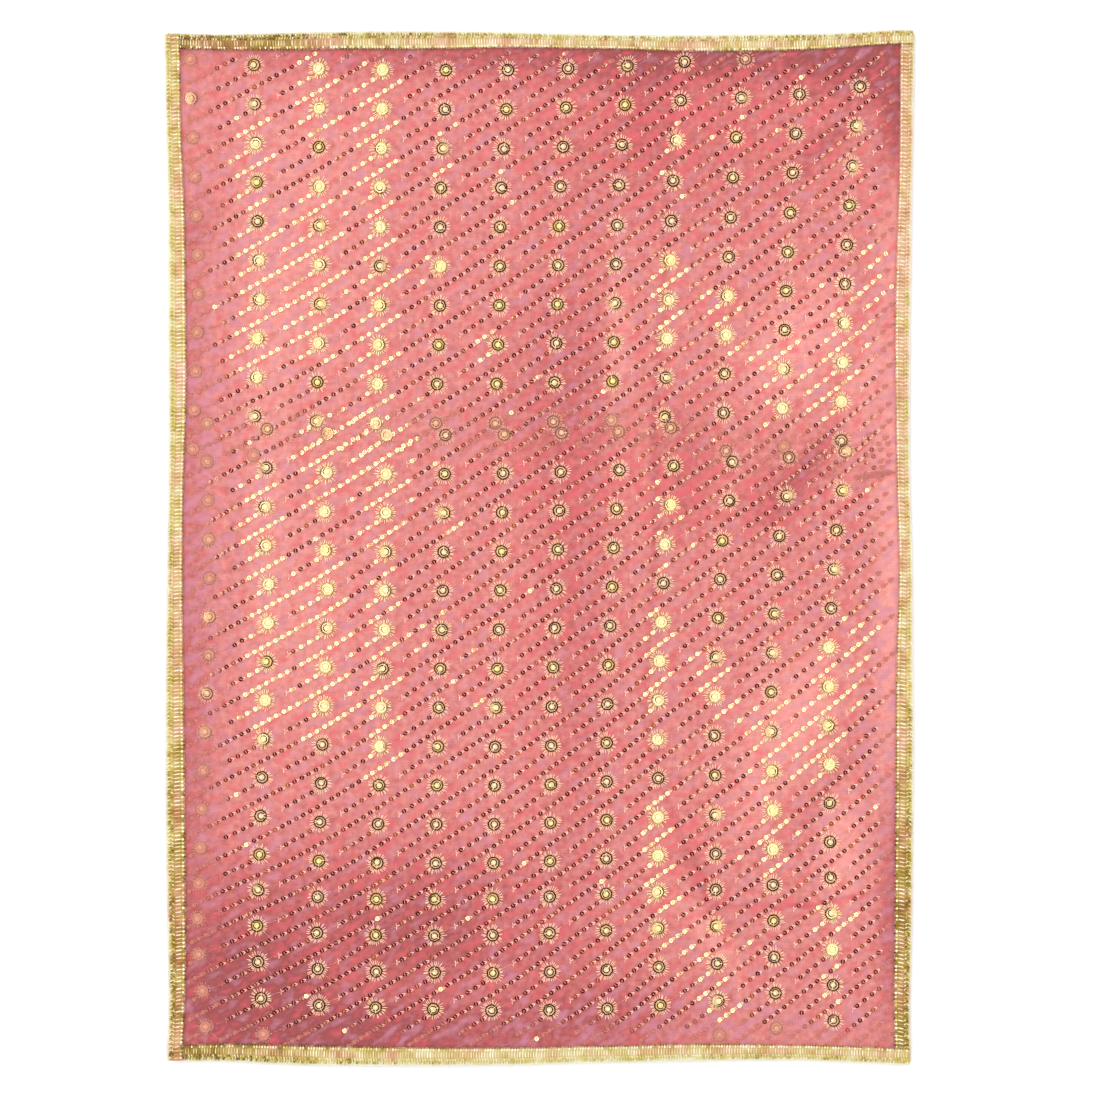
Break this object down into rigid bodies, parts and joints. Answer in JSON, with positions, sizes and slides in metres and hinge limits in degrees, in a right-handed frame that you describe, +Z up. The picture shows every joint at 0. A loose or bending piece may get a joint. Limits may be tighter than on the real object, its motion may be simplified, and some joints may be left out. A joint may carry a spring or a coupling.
{
  "type": "chunri",
  "caption": "Small rectangular sheer cloth chunri laid out flat, edged all round with narrow lace tape lapped at its corners.",
  "frame": {"origin": "middle of the laid cloth, on the surface that it rests on", "axes": "+X across the cloth to the right edge, +Y along it to the top edge, +Z up from the surface"},
  "size_m": [0.445, 0.614, 0.0042],
  "materials": {
    "coral_cloth": "sheer coral-pink georgette with gold thread and sequin work",
    "gold_lace": "gold metallic thread lace with beaded edge cords"
  },
  "bodies": {
    "root": {"cloth_panel": "coral_cloth", "lace_left": "gold_lace", "lace_top": "gold_lace", "lace_right": "gold_lace", "lace_bottom": "gold_lace"}
  },
  "joints": []
}
